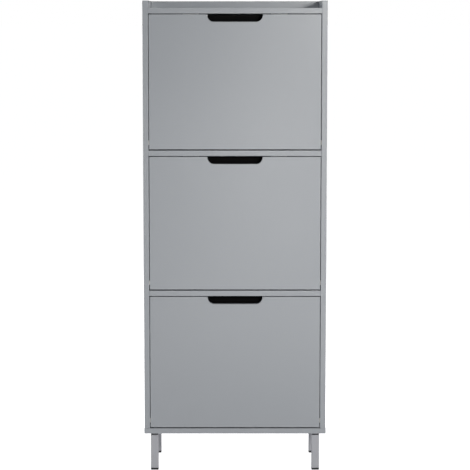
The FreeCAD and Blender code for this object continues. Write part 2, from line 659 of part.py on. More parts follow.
def make_rack_side(name, side, sign, place):
    """Side plate with rounded rear corners and the curved slot that the stop pin runs in."""
    plate = new_body(f"rack_side_{side}_{name}", place)
    near = PLATE_IN if sign > 0 else f"(-{PLATE_OUT})"
    outline = sketch_on(plate, "YZ_Plane", near)
    draw_loop(outline, [
        (FLAP_REAR, "rack_low"),
        (RACK_REAR, "rack_low"),
        (RACK_REAR, "rack_rear_height"),
        (f"{DIVIDER_FACE} + rack_board", RACK_TOP),
        (FLAP_REAR, RACK_TOP),
    ])
    pad(plate, outline, "rack_side_thickness")
    round_edges(
        plate, "rack_round",
        lambda edge, middle: runs_along(edge, Vector(1, 0, 0)) and middle.y > number(FLAP_REAR) + 1,
    )
    half = "(stop_pin_radius + slot_clearance)"
    wide, narrow = f"(stop_radius + {half})", f"(stop_radius - {half})"
    low_angle = "(stop_angle - open_angle)"
    slot = sketch_on(plate, "YZ_Plane", near)
    draw_loop(slot, [
        (f"{wide} * cos{low_angle}", f"{wide} * sin{low_angle}", wide),
        (f"{wide} * cos(stop_angle)", f"{wide} * sin(stop_angle)"),
        (f"{narrow} * cos(stop_angle)", f"{narrow} * sin(stop_angle)", f"-{narrow}"),
        (f"{narrow} * cos{low_angle}", f"{narrow} * sin{low_angle}"),
    ])
    band = math.radians(number("open_angle")) / 2 * (number(wide) ** 2 - number(narrow) ** 2)
    cut(plate, slot, "rack_side_thickness", 1, band * number("rack_side_thickness"))
    ends = sketch_on(plate, "YZ_Plane", near)
    draw_circles(ends, [
        ("stop_radius * cos(stop_angle)", "stop_radius * sin(stop_angle)"),
        (f"stop_radius * cos{low_angle}", f"stop_radius * sin{low_angle}"),
    ], half)
    two_half_discs = math.pi * number(half) ** 2 * number("rack_side_thickness")
    cut(plate, ends, "rack_side_thickness", 1, two_half_discs)
    outer = f"({sign} * {PLATE_OUT})"
    drill(plate, "YZ_Plane", outer, -sign, rack_screw_points, "screw_head", "head_height")
    shank = "rack_side_thickness - head_height"
    inner = f"({sign} * {PLATE_IN})"
    drill(plate, "YZ_Plane", inner, sign, rack_screw_points, "screw_radius", shank)
    drill(plate, "YZ_Plane", inner, sign, plate_screws, "screw_radius", "rack_side_thickness")


def make_rack_boards(name, place):
    """Floor, divider and back board between the side plates."""
    floor = board(
        f"rack_floor_{name}", "XY_Plane", PLATE_SPAN, (FLAP_REAR, BACK_FACE), "rack_floor_low",
        "rack_board", place,
    )
    screw_holes(floor, floor_screws)
    divider_low = "(rack_floor_low + rack_board)"
    divider = board(
        f"rack_divider_{name}", "XZ_Plane", PLATE_SPAN, (divider_low, DIVIDER_TOP),
        DIVIDER_FACE, "rack_board", place,
    )
    screw_holes(divider, divider_screws)
    rear = board(
        f"rack_back_{name}", "XZ_Plane", PLATE_SPAN, ("rack_floor_low", "rack_rear_height"),
        BACK_FACE, "rack_board", place,
    )
    screw_holes(rear, back_board_screws)
    for piece, faces in ((divider, DIVIDER_TOP), (rear, "rack_rear_height")):
        round_edges(
            piece, "edge_round",
            lambda edge, middle: middle.z > number(faces) - 0.1 and runs_along(edge, Vector(1, 0, 0)),
        )


def make_brackets(name, place):
    """Four steel corner brackets between the flap and the side plates."""
    brackets = new_body(f"rack_brackets_{name}", place)
    for low in BRACKET_HEIGHTS:
        for _, sign in SIDES:
            section = sketch_on(brackets, "XY_Plane", low)
            near, far = f"({sign} * {PLATE_IN})", f"({sign} * ({PLATE_IN} - bracket_leg))"
            wall = f"({sign} * ({PLATE_IN} - bracket_thickness))"
            draw_loop(section, [
                (near, FLAP_REAR),
                (near, f"{FLAP_REAR} + bracket_leg"),
                (wall, f"{FLAP_REAR} + bracket_leg"),
                (wall, f"{FLAP_REAR} + bracket_thickness"),
                (far, f"{FLAP_REAR} + bracket_thickness"),
                (far, FLAP_REAR),
            ])
            pad(brackets, section, "bracket_leg")
    inner_face = f"({FLAP_REAR} + bracket_thickness)"
    drill(
        brackets, "XZ_Plane", inner_face, -1, door_screws, "screw_radius", "bracket_thickness",
    )
    for _, sign in SIDES:
        wall = f"({sign} * ({PLATE_IN} - bracket_thickness))"
        drill(brackets, "YZ_Plane", wall, sign, plate_screws, "screw_radius", "bracket_thickness")


def make_strikes(name, place):
    """Two steel plates that meet the magnetic catches."""
    strikes = new_body(f"strike_plates_{name}", place)
    for x, z in strike_centres:
        block(
            strikes, "XZ_Plane", (f"{x} - strike_width / 2", f"{x} + strike_width / 2"),
            (f"{z} - strike_height / 2", f"{z} + strike_height / 2"), FLAP_REAR,
            "strike_thickness",
        )
    face = f"{FLAP_REAR} + strike_thickness"
    drill(strikes, "XZ_Plane", face, -1, strike_centres, "screw_head", "strike_thickness")


def make_flap_screws(name, place):
    """Wood screws of the rack, the brackets, the strike plates and the finger guard."""
    screws = new_body(f"flap_screws_{name}", place)
    seat = f"({FLAP_REAR} + bracket_thickness)"
    discs(screws, "XZ_Plane", seat, 1, door_screws, "screw_head", "head_height")
    shank = "bracket_thickness + screw_bite"
    discs(screws, "XZ_Plane", seat, -1, door_screws, "screw_radius", shank)
    discs(screws, "XZ_Plane", FLAP_REAR, 1, strike_centres, "screw_head", "strike_thickness")
    discs(screws, "XZ_Plane", FLAP_REAR, -1, strike_centres, "screw_radius", "screw_bite")
    tab_face = f"({FLAP_REAR} + guard_wall)"
    tab_shank = "guard_wall + screw_bite"
    discs(screws, "XZ_Plane", tab_face, 1, guard_screws, "screw_head", "head_height")
    discs(screws, "XZ_Plane", tab_face, -1, guard_screws, "screw_radius", tab_shank)
    for _, sign in SIDES:
        wall = f"({sign} * ({PLATE_IN} - bracket_thickness))"
        through = "bracket_thickness + rack_side_thickness"
        discs(screws, "YZ_Plane", wall, -sign, plate_screws, "screw_head", "head_height")
        discs(screws, "YZ_Plane", wall, sign, plate_screws, "screw_radius", through)
        outer = f"({sign} * {PLATE_OUT})"
        neck = f"({sign} * ({PLATE_OUT} - head_height))"
        length = "rack_side_thickness - head_height + end_screw_bite"
        discs(screws, "YZ_Plane", outer, -sign, rack_screw_points, "screw_head", "head_height")
        discs(screws, "YZ_Plane", neck, -sign, rack_screw_points, "screw_radius", length)


for level, name in enumerate(LEVELS):
    place = ("0", PIVOT_Y, f"{opening_floor(level)} + pivot_rise")
    make_flap(name, place)
    make_finger_guard(name, place)
    pins = new_body(f"hinge_pins_{name}", place)
    for _, sign in SIDES:
        start = f"({sign} * ({FLAP_SIDE} - pin_grip))"
        length = "pin_grip + gap_side + pin_reach"
        discs(pins, "YZ_Plane", start, sign, [("0", "0")], "pin_radius", length)
    for side, sign in SIDES:
        make_rack_side(name, side, sign, place)
    make_rack_boards(name, place)
    make_brackets(name, place)
    make_strikes(name, place)
    make_flap_screws(name, place)

# ---- checks and export ----
doc.recompute()
for item in doc.Objects:
    if "Invalid" in item.State or "Error" in item.State:
        raise RuntimeError(f"{item.Name} failed: {item.State}")
for label, removed, expected in volume_checks:
    if abs(removed - expected) > 0.001 * expected + 0.01:
        raise RuntimeError(f"a cut in {label} removed {removed:.2f} mm3, not {expected:.2f}")
os.makedirs("parts", exist_ok=True)
for part in parts:
    if part.Shape.isNull() or not part.Shape.isValid():
        raise RuntimeError(f"{part.Label} has no valid shape")
    part.Shape.exportStep(f"parts/{part.Label}.step")
print(f"{len(parts)} pieces written")
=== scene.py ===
"""Looks of the tall shoe cabinet: lacquered boards, steel legs, the fittings behind the flaps."""

import json
import math
from functools import partial

import bpy
import numpy as np
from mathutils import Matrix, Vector


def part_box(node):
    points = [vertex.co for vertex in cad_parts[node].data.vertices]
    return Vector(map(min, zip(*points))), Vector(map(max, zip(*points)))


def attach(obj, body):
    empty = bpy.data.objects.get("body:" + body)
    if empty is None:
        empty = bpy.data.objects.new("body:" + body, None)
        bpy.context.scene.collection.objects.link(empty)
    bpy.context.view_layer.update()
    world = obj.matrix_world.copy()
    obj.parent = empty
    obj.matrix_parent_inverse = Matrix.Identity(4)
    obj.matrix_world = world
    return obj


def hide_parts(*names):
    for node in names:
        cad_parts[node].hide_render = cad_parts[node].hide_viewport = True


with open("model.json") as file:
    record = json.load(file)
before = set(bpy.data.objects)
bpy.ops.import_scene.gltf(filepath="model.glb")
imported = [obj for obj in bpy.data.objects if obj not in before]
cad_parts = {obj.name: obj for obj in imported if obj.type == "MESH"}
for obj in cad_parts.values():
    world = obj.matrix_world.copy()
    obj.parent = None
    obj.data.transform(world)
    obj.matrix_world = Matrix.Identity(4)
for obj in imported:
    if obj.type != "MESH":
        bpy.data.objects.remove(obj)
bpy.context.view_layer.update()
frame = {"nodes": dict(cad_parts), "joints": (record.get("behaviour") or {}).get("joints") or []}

# ---- camera ----
# Straight on from the front, a little under the cabinet's own height and tilted down a few
# degrees, through a long lens that fills the frame from the gallery to the glides.
LENS_MM, SENSOR_MM, FRAME_SHIFT = 137.9, 36.0, -0.03
STAND_OFF, EYE_HEIGHT, DOWN_TILT = 4.885, 1.248, 6.43
cabinet_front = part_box("side_panel_left")[0].y
camera_data = bpy.data.cameras.new("front_camera")
camera_data.sensor_width = SENSOR_MM
camera_data.lens = LENS_MM
camera_data.shift_y = FRAME_SHIFT
camera = bpy.data.objects.new("front_camera", camera_data)
camera.location = (0.0, cabinet_front - STAND_OFF, EYE_HEIGHT)
camera.rotation_euler = (math.radians(90.0 - DOWN_TILT), 0.0, 0.0)
bpy.context.collection.objects.link(camera)
bpy.context.scene.camera = camera

# ---- studio ----
# A white floor that runs out to a white surround. A small key stands a little to the right of the
# camera, a tall strip lays a soft sheen on the lowest flap, and wide fills light the base, the
# right side, the top and the rear. The surround lights the cabinet less than it shows white.
SURROUND_STRENGTH = 0.08
bpy.context.scene.view_settings.view_transform = "Standard"
world = bpy.data.worlds.new("surround")
bpy.context.scene.world = world
world.use_nodes = True
world_nodes, world_links = world.node_tree.nodes, world.node_tree.links
ray_kind = world_nodes.new("ShaderNodeLightPath")
surround = world_nodes["Background"]
surround.inputs["Color"].default_value = (0.95, 0.975, 1.0, 1.0)
surround.inputs["Strength"].default_value = SURROUND_STRENGTH
backdrop = world_nodes.new("ShaderNodeBackground")
backdrop.inputs["Color"].default_value = (1.0, 1.0, 1.0, 1.0)
chooser = world_nodes.new("ShaderNodeMixShader")
world_links.new(ray_kind.outputs["Is Camera Ray"], chooser.inputs[0])
world_links.new(surround.outputs[0], chooser.inputs[1])
world_links.new(backdrop.outputs[0], chooser.inputs[2])
world_links.new(chooser.outputs[0], world_nodes["World Output"].inputs["Surface"])


def lamp(name, place, target, watts, width, height=None, colour=(1.0, 1.0, 1.0)):
    """An area light aimed at a point; with no height it is square."""
    data = bpy.data.lights.new(name, "AREA")
    data.shape = "RECTANGLE"
    data.size, data.size_y = width, height or width
    data.energy = watts
    data.color = colour
    light = bpy.data.objects.new(name, data)
    light.location = place
    aim = Vector(target) - Vector(place)
    light.rotation_euler = aim.to_track_quat("-Z", "Y").to_euler()
    light.visible_camera = False
    bpy.context.collection.objects.link(light)


WARM = (1.0, 0.985, 0.955)
lamp("key", (0.96, -3.4, 1.56), (0.05, 0.0, 0.75), watts=50.0, width=0.3, colour=WARM)
lamp("satin_strip", (0.25, -5.3, 0.5), (0.25, 0.0, 0.5), watts=11.4, width=0.35, height=1.9,
     colour=WARM)
lamp("low_fill", (0.2, -2.0, 0.35), (0.0, 0.0, 0.3), watts=4.9, width=1.2)
lamp("side_fill", (2.9, -0.9, 1.3), (0.0, 0.0, 0.6), watts=8.0, width=1.2)
lamp("overhead", (0.0, 0.3, 2.7), (0.0, 0.1, 1.3), watts=28.0, width=1.6)
lamp("rear_fill", (-1.7, 3.0, 1.5), (0.0, 0.0, 0.7), watts=45.0, width=1.2)


# ---- the floor the cabinet stands on ----
# One large square of smooth white vinyl, in the shader classes that every finish below uses.
class Value:
    """A shader socket that takes Python operators; each one adds a Math node."""

    def __init__(self, finish, socket):
        self.finish = finish
        self.socket = socket

    def math(self, operation, *values):
        return self.finish.node("ShaderNodeMath", {"operation": operation}, dict(enumerate(values)))

    def __add__(self, other):
        return self.math("ADD", self, other)

    def __sub__(self, other):
        return self.math("SUBTRACT", self, other)

    def __rsub__(self, other):
        return self.math("SUBTRACT", other, self)

    def __mul__(self, other):
        return self.math("MULTIPLY", self, other)

    __radd__ = __add__
    __rmul__ = __mul__

    def sine(self):
        """The sine of an angle in radians."""
        return self.math("SINE", self)

    def above(self, low, high):
        """0 below low, 1 above high, smooth between."""
        settings = {"interpolation_type": "SMOOTHSTEP"}
        ends = {"Value": self, "From Min": low, "From Max": high}
        return self.finish.node("ShaderNodeMapRange", settings, ends)


class Finish:
    """A material under construction: its node tree, its shader and its Object coordinates."""

    def __init__(self, name, roughness=0.5, metallic=0.0, **constants):
        self.material = bpy.data.materials.new(name)
        self.material.use_nodes = True
        self.tree = self.material.node_tree
        self.shader = self.tree.nodes["Principled BSDF"]
        self.set(Roughness=roughness, Metallic=metallic, **constants)
        self.place = self.node("ShaderNodeTexCoord", {}, {}, "Object")

    def node(self, kind, settings, values, output=0):
        """Add a node: settings are its own properties, values its sockets by name or number."""
        made = self.tree.nodes.new(kind)
        for key, setting in settings.items():
            setattr(made, key, setting)
        for key, value in values.items():
            self.feed(made.inputs[key], value)
        return Value(self, made.outputs[output])

    def feed(self, socket, value):
        """Link a Value to a socket, or set the socket to a number or a colour."""
        if isinstance(value, Value):
            self.tree.links.new(value.socket, socket)
        elif isinstance(value, tuple) and socket.type == "RGBA":
            socket.default_value = (*value, 1.0)
        else:
            socket.default_value = value

    def set(self, **values):
        """Feed sockets of the shader; an underscore in a name stands for a space."""
        for key, value in values.items():
            self.feed(self.shader.inputs[key.replace("_", " ")], value)

    def stretched(self, x, y, z):
        """Object coordinates scaled along each axis."""
        return self.node("ShaderNodeMapping", {}, {"Vector": self.place, "Scale": (x, y, z)})

    def axis(self, index):
        """One of the Object coordinates: 0, 1 or 2."""
        return self.node("ShaderNodeSeparateXYZ", {}, {0: self.place}, index)

    def noise(self, scale, detail=2.0, vector=None):
        """Noise of so many cells a metre, on the Object coordinates unless others are given."""
        values = {"Vector": vector or self.place, "Scale": scale, "Detail": detail}
        return self.node("ShaderNodeTexNoise", {}, values)

    def mix(self, factor, first, second):
        """A colour between two, by a factor from 0 to 1."""
        values = {0: factor, 6: first, 7: second}
        return self.node("ShaderNodeMix", {"data_type": "RGBA"}, values, 2)

    def scaled(self, colour, factor):
        """A colour made lighter or darker by a factor."""
        settings = {"operation": "SCALE"}
        return self.node("ShaderNodeVectorMath", settings, {0: colour, "Scale": factor})

    def relief(self, height, depth, strength=1.0, below=None):
        """Bump of a height from 0 to 1 that stands for depth metres, over the bump below it."""
        values = {"Height": height, "Distance": depth, "Strength": strength}
        if below:
            values["Normal"] = below
        return self.node("ShaderNodeBump", {}, values)

    def dress(self, *objects):
        """Give this finish to objects, in place of what they had."""
        for piece in objects:
            piece.data.materials.clear()
            piece.data.materials.append(self.material)


floor_vinyl = Finish("floor_vinyl", roughness=0.6)
scuff = floor_vinyl.noise(3.0)
floor_vinyl.set(Base_Color=floor_vinyl.mix(scuff, (0.90, 0.905, 0.91), (0.93, 0.932, 0.935)))
to_camera = floor_vinyl.node("ShaderNodeLightPath", {}, {}, "Is Camera Ray")
glow = floor_vinyl.mix(to_camera, (0.3, 0.3, 0.3), (0.93, 0.93, 0.93))
floor_vinyl.set(Emission_Color=glow, Emission_Strength=1.0)
FLOOR_REACH = 300.0
floor_mesh = bpy.data.meshes.new("studio_floor")
quarters = ((-1, -1), (1, -1), (1, 1), (-1, 1))
floor_corners = [(x * FLOOR_REACH, y * FLOOR_REACH, 0) for x, y in quarters]
floor_mesh.from_pydata(floor_corners, [], [(0, 1, 2, 3)])
floor = bpy.data.objects.new("studio_floor", floor_mesh)
bpy.context.collection.objects.link(floor)
floor_vinyl.dress(floor)


# ---- painted carcass boards ----
# Fibreboard panels, sprayed with a light bluish-grey satin lacquer after their edges were eased.
# The film has a faint orange peel, and is thinner and a little lighter along the eased edges. The
# gallery rail's lacquer is a painted-light copy, mixed a shade lighter to make up for the weak
# light that reaches it behind the top panel.
def lacquer(name, colour, peel=0.35):
    """Satin lacquer: slow drift of tone, orange peel, a few dust nibs, thin paint on the edges."""
    made = Finish(name, Specular_IOR_Level=0.62)
    drift = made.noise(2.2, 3.0)
    body = made.scaled(colour, 0.985 + drift * 0.03)
    worn = made.node("ShaderNodeAttribute", {"attribute_name": "eased"}, {}, 2)
    rubbed = worn * made.noise(46.0, 4.0).above(0.44, 0.66)
    lighter = tuple(min(1.0, channel * 1.18 + 0.015) for channel in colour)
    made.set(Base_Color=made.mix(rubbed * 0.4, body, lighter))
    made.set(Roughness=0.21 + made.noise(7.0, 3.0) * 0.06 - rubbed * 0.04)
    orange_peel = made.relief(made.noise(620.0, 1.5), 0.00004, peel)
    nibs = made.noise(1900.0, 0.0).above(0.76, 0.82)
    made.set(Normal=made.relief(nibs, 0.00003, 0.3, orange_peel))
    return made


LEAST_RADIUS = 0.0001


def inset(outline, distance):
    """The outline moved inwards: each point goes along the mitre of its two edge normals."""
    edge = np.roll(outline, -1, axis=0) - outline
    normal = np.stack([edge[:, 1], -edge[:, 0]], 1) / np.linalg.norm(edge, axis=1)[:, None]
    previous = np.roll(normal, 1, axis=0)
    mitre = (normal + previous) / (1.0 + (normal * previous).sum(1))[:, None]
    return outline - mitre * distance


def eased_outline(corners, radii, inward=0.0, pieces=8):
    """Outline through corners, counter-clockwise, each rounded by an arc, moved inwards.

    A corner moves along the mitre of its two edge normals. Where the outline turns by t, an arc
    of radius r starts r tan(t/2) before the corner, and its points are the centre plus r times
    the start normal turned by 0 to t. Moved inwards, an outer arc shrinks and an inner one grows.
    """
    corners = inset(np.asarray(corners, float), inward)
    found = []
    for index, (corner, radius) in enumerate(zip(corners, radii)):
        before = corner - corners[index - 1]
        after = corners[(index + 1) % len(corners)] - corner
        before, after = before / np.linalg.norm(before), after / np.linalg.norm(after)
        turn = math.atan2(before[0] * after[1] - before[1] * after[0], before @ after)
        radius = max(radius - math.copysign(inward, turn), LEAST_RADIUS)
        outward = np.array([before[1], -before[0]]) * math.copysign(1.0, turn)
        centre = corner - before * radius * abs(math.tan(turn / 2)) - outward * radius
        angles = np.linspace(0.0, turn, pieces + 1)[:, None]
        turned = np.array([-outward[1], outward[0]])
        found.append(centre + radius * (np.cos(angles) * outward + np.sin(angles) * turned))
    return np.concatenate(found)


# Rows are the outline's two directions and the direction it is swept along.
AXES = {
    "flat": np.eye(3),
    "side": np.array([[0, 1, 0], [0, 0, 1], [1, 0, 0]], float),
    "front": np.array([[1, 0, 0], [0, 0, 1], [0, -1, 0]], float),
}


def ring_faces(rings, count):
    """Quads that join each ring of count points to the next, as rows of four indices."""
    ring, place = np.meshgrid(np.arange(rings - 1), np.arange(count), indexing="ij")
    following = (place + 1) % count
    low, high = ring * count, (ring + 1) * count
    quads = np.stack([low + place, low + following, high + following, high + place], -1)
    return quads.reshape(-1, 4)


def tube_shell(rings, smooth_bands, eased=None):
    """A closed shell over rings of points, shape (rings, count, 3), with a polygon at each end."""
    count = rings.shape[1]
    quads = ring_faces(len(rings), count)
    last = (len(rings) - 1) * count
    caps = [list(range(count))[::-1], list(range(last, last + count))]
    smooth = np.append(np.repeat(smooth_bands, count), [False, False])
    worn = np.zeros(len(rings)) if eased is None else eased
    return rings.reshape(-1, 3), quads.tolist() + caps, smooth, np.repeat(worn, count)


EDGE_EASE = 0.0008


def slab(outline, low, high, axes, ease=EDGE_EASE, border=0.0025, steps=5):
    """A board with eased edges: outline(inward) is swept from low to high along its own normal.

    Round the two face edges the outline moves in by r(1 - sin a) while it climbs r(1 - cos a), for
    a from 0 to 90 degrees. A border ring to each side of them is where the edge wear ends.
    """
    border = min(border, (high - low) * 0.3)
    angle = np.linspace(0.0, math.pi / 2, steps)
    inward = np.concatenate([[ease + border], ease * (1 - np.sin(angle)), [0.0]])
    climb = np.concatenate([[0.0], ease * (1 - np.cos(angle)), [ease + border]])
    worn = np.concatenate([[0.0], np.full(steps, 1.0), [0.0]])
    inward, worn = np.concatenate([inward, inward[::-1]]), np.concatenate([worn, worn[::-1]])
    height = np.concatenate([low + climb, high - climb[::-1]])
    rings = np.stack([
        np.insert(outline(d), 2, h, axis=1) @ AXES[axes]
        for d, h in zip(inward, height)
    ])
    curved = np.zeros(len(height) - 1, bool)
    curved[1:steps] = True
    return tube_shell(rings, curved | curved[::-1], worn)


def joined(shells):
    """Several shells as one."""
    points, faces, smooth, eased, start = [], [], [], [], 0
    for shell in shells:
        points.append(shell[0])
        faces += [[start + index for index in face] for face in shell[1]]
        smooth.append(shell[2])
        eased.append(shell[3])
        start += len(shell[0])
    return np.concatenate(points), faces, np.concatenate(smooth), np.concatenate(eased)


def new_piece(name, shell, finish, body, slot, *replaced):
    """A mesh object at the origin, dressed, riding on its body, in place of its CAD nodes."""
    points, faces, smooth, eased = shell
    mesh = bpy.data.meshes.new(name)
    mesh.from_pydata(points.tolist(), [], faces)
    mesh.polygons.foreach_set("use_smooth", smooth)
    mesh.attributes.new("eased", "FLOAT", "POINT").data.foreach_set("value", eased)
    mesh.update()
    piece = bpy.data.objects.new(name, mesh)
    bpy.context.collection.objects.link(piece)
    finish.dress(piece)
    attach(piece, body)
    if replaced:
        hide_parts(*replaced)
    return piece


def box_slab(low, high, axes, ease=EDGE_EASE, corner=EDGE_EASE, pieces=4):
    """An eased slab that fills a box given by its corners."""
    low, high = AXES[axes] @ np.array(low), AXES[axes] @ np.array(high)
    low, high = np.minimum(low, high), np.maximum(low, high)
    square = [(low[0], low[1]), (high[0], low[1]), (high[0], high[1]), (low[0], high[1])]

    def outline(inward):
        return eased_outline(square, [corner] * 4, inward, pieces)

    return slab(outline, low[2], high[2], axes, ease)


PAINT = (0.287, 0.304, 0.329)
# Painted light: the rail's lacquer is 15% lighter than the carcass's, to make up for the weak light
# that reaches it behind the top panel.
RAIL_PAINTED_LIGHT = 1.15
carcass_paint = lacquer("carcass_lacquer", PAINT)
rail_painted_light_paint = lacquer("rail_lacquer", tuple(RAIL_PAINTED_LIGHT * channel for channel in PAINT))
painted = {"side_panel_left": "side", "side_panel_right": "side", "top_panel": "flat",
           "divider_upper": "flat", "divider_lower": "flat", "gallery_rail": "front"}
for node, axes in painted.items():
    shell = box_slab(*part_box(node), axes)
    paint = rail_painted_light_paint if node == "gallery_rail" else carcass_paint
    new_piece(node + "_board", shell, paint, "cabinet", "painted_board", node)
# The bottom panel and the wall rail keep their drilled holes.
nodes = frame["nodes"]
carcass_paint.dress(nodes["bottom_panel"], nodes["wall_rail"])


# ---- flaps ----
# The same board and lacquer as the carcass, each sprayed as a batch of its own, with a finger
# notch routed out of the top edge: square shoulders, rounded lower corners and eased arrises.
LEVELS = ("bottom", "middle", "top")
NOTCH_WIDTH, NOTCH_DEPTH = 0.150, 0.020
NOTCH_CORNER, NOTCH_SHOULDER, FLAP_CORNER = 0.018, 0.0012, 0.001
BATCH_SHADES = (0.985, 1.0, 1.01)


def flap_outline(low, high, inward):
    """The flap's front face, counter-clockwise in X and Z, with the notch in its top edge."""
    half, floor = NOTCH_WIDTH / 2, high.z - NOTCH_DEPTH
    corners = [
        (low.x, low.z), (high.x, low.z), (high.x, high.z), (half, high.z),
        (half, floor), (-half, floor), (-half, high.z), (low.x, high.z),
    ]
    radii = [FLAP_CORNER] * 3 + [NOTCH_SHOULDER, NOTCH_CORNER] + [NOTCH_CORNER, NOTCH_SHOULDER]
    return eased_outline(corners, radii + [FLAP_CORNER], inward, pieces=20)


for level, shade in zip(LEVELS, BATCH_SHADES):
    flap_paint = lacquer(f"flap_lacquer_{level}", tuple(shade * channel for channel in PAINT))
    low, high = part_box(f"flap_panel_{level}")
    shell = slab(partial(flap_outline, low, high), -high.y, -low.y, "front")
    new_piece(f"flap_{level}_board", shell, flap_paint, f"flap_{level}", "painted_board",
              f"flap_panel_{level}")


# ---- finger guards ----
# A thin moulded cup behind each notch, black with a fine spark-eroded grain, that keeps the inside
# of the cabinet out of sight. Its near-black colour, darker than the other black plastic, is partly
# painted shade: it stands in for the dark inside of the cabinet behind the notch. Its tabs are
# screwed to the back of the flap.
def moulding(name, colour, roughness=0.45, grain=0.5, gloss=0.4):
    """Moulded plastic: fine even grain in the surface, a little gloss change between flow lines."""
    made = Finish(name, Specular_IOR_Level=gloss)
    flow = made.noise(24.0, 2.0, made.stretched(1.0, 1.0, 0.25))
    made.set(Base_Color=made.scaled(colour, 0.96 + flow * 0.08))
    made.set(Roughness=roughness - 0.05 + flow * 0.1)
    made.set(Normal=made.relief(made.noise(2600.0, 1.0), 0.00005, grain))
    return made


# Near-black beyond real plastic: painted shade for the dark inside of the cabinet behind the notch.
guard_plastic = moulding("guard_plastic", (0.002, 0.002, 0.0022), roughness=0.75, gloss=0.1)
for level in LEVELS:
    guard_plastic.dress(nodes[f"finger_guard_{level}"])


# ---- legs ----
# Square steel tube, powder coated a shade lighter than the boards, with the coat's fine even
# texture and softly rounded corners. Each foot is a black polythene glide and each neck a black
# collar.
LEGS = ("leg_front_left", "leg_front_right", "leg_back_left", "leg_back_right")
TUBE_CORNER, TUBE_EASE = 0.0018, 0.0003
powder = Finish("leg_powder_coat", Specular_IOR_Level=0.45)
speckle = powder.noise(1500.0, 2.0)
powder.set(Base_Color=powder.mix(speckle, (0.345, 0.350, 0.378), (0.370, 0.376, 0.405)))
powder.set(Roughness=0.42 + speckle * 0.12)
powder.set(Normal=powder.relief(powder.noise(1200.0, 2.0), 0.00008, 0.5))
for leg in LEGS:
    shell = box_slab(*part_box(leg), "flat", TUBE_EASE, TUBE_CORNER, 8)
    new_piece(f"{leg}_tube", shell, powder, "cabinet", "leg_metal", leg)

black_plastic = moulding("black_plastic", (0.011, 0.011, 0.012), roughness=0.42)
GLIDE_EASE = 0.001
COLLAR_HEIGHT, COLLAR_INSET, COLLAR_CORNER = 0.006, 0.0015, 0.001
collar_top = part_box("leg_collars")[1].z
glide_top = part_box(LEGS[0])[0].z
feet, necks = [], []
for leg in LEGS:
    low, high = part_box(leg)
    foot = (low.x, low.y, 0.0), (high.x, high.y, glide_top)
    feet.append(box_slab(*foot, "flat", GLIDE_EASE, TUBE_CORNER, 8))
    neck = ((low.x + COLLAR_INSET, low.y + COLLAR_INSET, collar_top - COLLAR_HEIGHT),
            (high.x - COLLAR_INSET, high.y - COLLAR_INSET, collar_top))
    necks.append(box_slab(*neck, "flat", TUBE_EASE, COLLAR_CORNER))
new_piece("foot_glides", joined(feet), black_plastic, "cabinet", "black_plastic", "leg_glides")
new_piece("leg_necks", joined(necks), black_plastic, "cabinet", "black_plastic", "leg_collars")


# ---- screws ----
# Zinc-plated cross-head wood screws: a low domed head with a pressed cross, over a plain shank.
# Each stands where its drilled hole is.
def loose_solids(node):
    """The low corner, the high corner and the points of each separate solid in a node.

    Corners that share a place are one point. Every triangle then gives its points the lowest label
    among them, again and again until no label changes.
    """
    mesh = nodes[node].data
    points = np.empty(len(mesh.vertices) * 3, np.float32)
    mesh.vertices.foreach_get("co", points)
    corner = np.empty(len(mesh.loops), np.int32)
    mesh.loops.foreach_get("vertex_index", corner)
    points = points.reshape(-1, 3)
    _, place = np.unique(np.round(points, 6), axis=0, return_inverse=True)
    triangles = place.reshape(-1)[corner].reshape(-1, 3)
    label = np.arange(triangles.max() + 1)
    while True:
        lowest = label[triangles].min(axis=1)
        updated = label.copy()
        np.minimum.at(updated, triangles, lowest[:, None])
        if (updated == label).all():
            break
        label = updated
    label = label[place.reshape(-1)]
    groups = [points[label == value] for value in np.unique(label)]
    return [(group.min(axis=0), group.max(axis=0), group) for group in groups]


def cross_columns(arm, radius):
    """Angles of 32 columns at a radius, in four quarters, two of them along each arm's edges.

    An arm of half width w leaves its edge at the angle asin(w / r); inside r = w sqrt 2 the edges
    of two arms all but meet, at 43 degrees.
    """
    edge = math.asin(min(arm / radius, math.sin(math.radians(43.0))))
    quarter = np.array([0.0, 0.9, 1.0, 1.0, 1.0, 1.0, 1.0, 0.9]) * edge
    quarter[3] = edge + (math.pi / 2 - 2 * edge) * 0.12
    quarter[4] = math.pi / 4
    quarter[5] = math.pi / 2 - quarter[3]
    quarter[6] = math.pi / 2 - edge
    quarter[7] = math.pi / 2 - edge * 0.9
    return np.concatenate([quarter + turn * math.pi / 2 for turn in range(4)])


def cross_head(radius, thickness, length, shank):
    """Points of a screw that points down -Z with its head's seat at 0: (rings, columns, 3).

    The face climbs as a shallow dome, h = t - 0.25 t (r / R) squared, and drops by 0.6 t inside the
    arms of the cross. Then come the rim, the seat, the shank and a short point.
    """
    arm, reach = radius * 0.14, radius * 0.58
    in_arm = np.tile([1, 1, 0, 0, 0, 0, 0, 1], 4).astype(float)
    columns = len(in_arm)
    rings = []
    for share in (0.03, 0.198, 0.205, 0.4, 0.57, 0.585, 0.75, 0.93):
        r = radius * share
        angle = cross_columns(arm, r)
        height = thickness * (1 - 0.25 * share ** 2)
        sunk = in_arm if share > 0.2 else np.ones(columns)
        drop = 0.6 * thickness * sunk * (r < reach)
        rings.append(np.column_stack([r * np.cos(angle), r * np.sin(angle), height - drop]))
    angle = cross_columns(arm, radius)
    below_the_face = [(radius, thickness * 0.62), (radius, 0.0), (shank, 0.0),
                      (shank, -length * 0.8), (shank * 0.1, -length)]
    for r, z in below_the_face:
        rings.append(np.column_stack([r * np.cos(angle), r * np.sin(angle), np.full(columns, z)]))
    return np.stack(rings[::-1])


